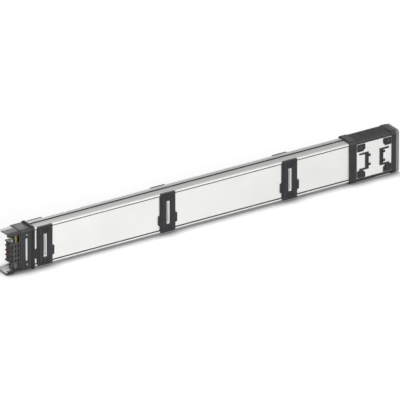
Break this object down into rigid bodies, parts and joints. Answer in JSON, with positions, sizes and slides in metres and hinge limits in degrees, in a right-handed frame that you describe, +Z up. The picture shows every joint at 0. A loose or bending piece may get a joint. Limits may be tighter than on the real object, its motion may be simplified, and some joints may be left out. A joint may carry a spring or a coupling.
{
  "type": "busway section",
  "caption": "Straight length of plug-in busbar trunking: folded sheet-steel casing with tap-off outlets, joint block and tongues at one end, joint sleeve at the other",
  "frame": {"origin": "under the middle of the part, on the level that it stands on", "axes": "+X along the length from the joint block to the joint sleeve, -Y is the front face, +Z is up"},
  "size_m": [1.602, 0.083, 0.16],
  "materials": {
    "casing_paint": "smooth off-white polyester paint on galvanised steel sheet",
    "seal_rubber": "black extruded rubber",
    "tinned_bar": "tinned aluminium, drawn",
    "dark_moulding": "charcoal moulded thermoplastic, fine texture",
    "insulator_moulding": "dark grey glass-filled moulding",
    "grey_moulding": "soft grey thermoplastic elastomer",
    "light_moulding": "light grey moulded thermoplastic",
    "contact_copper": "bare copper alloy",
    "earth_brass": "yellow-passivated contact strip",
    "plated_steel": "zinc-plated steel",
    "dark_steel": "black-finished pressed steel"
  },
  "bodies": {
    "root": {"front_shell": "casing_paint", "rear_shell": "casing_paint", "top_seal": "seal_rubber", "bottom_seal": "seal_rubber", "busbar_1": "tinned_bar", "busbar_2": "tinned_bar", "busbar_3": "tinned_bar", "busbar_4": "tinned_bar", "bar_carrier_1": "insulator_moulding", "bar_carrier_2": "insulator_moulding", "bar_carrier_3": "insulator_moulding", "end_carrier": "insulator_moulding", "earth_blade_1": "earth_brass", "earth_blade_2": "earth_brass", "earth_blade_3": "earth_brass", "joint_block": "insulator_moulding", "contacts_1": "contact_copper", "contacts_2": "contact_copper", "contacts_3": "contact_copper", "contacts_4": "contact_copper", "joint_bolt": "plated_steel", "bolt_plate": "plated_steel", "joint_nut": "plated_steel", "earth_strap": "earth_brass", "guide_strip": "dark_moulding", "guide_lug": "dark_moulding", "end_collar": "dark_moulding", "outlet_front_1": "dark_moulding", "outlet_front_2": "dark_moulding", "outlet_front_3": "dark_moulding", "outlet_rear_1": "dark_moulding", "outlet_rear_2": "dark_moulding", "outlet_rear_3": "dark_moulding", "insert_front_1": "light_moulding", "insert_front_2": "light_moulding", "insert_front_3": "light_moulding", "insert_rear_1": "light_moulding", "insert_rear_2": "light_moulding", "insert_rear_3": "light_moulding", "seat_ring": "dark_moulding", "mouth_ring": "dark_moulding", "mouth_lip": "grey_moulding", "top_cover": "dark_moulding", "bottom_cover": "dark_moulding", "side_plate_front": "casing_paint", "side_plate_rear": "casing_paint", "brackets_front": "dark_steel", "brackets_rear": "dark_steel", "clamps_front": "dark_steel", "clamps_rear": "dark_steel", "screws_front": "plated_steel", "screws_rear": "plated_steel"}
  },
  "joints": []
}
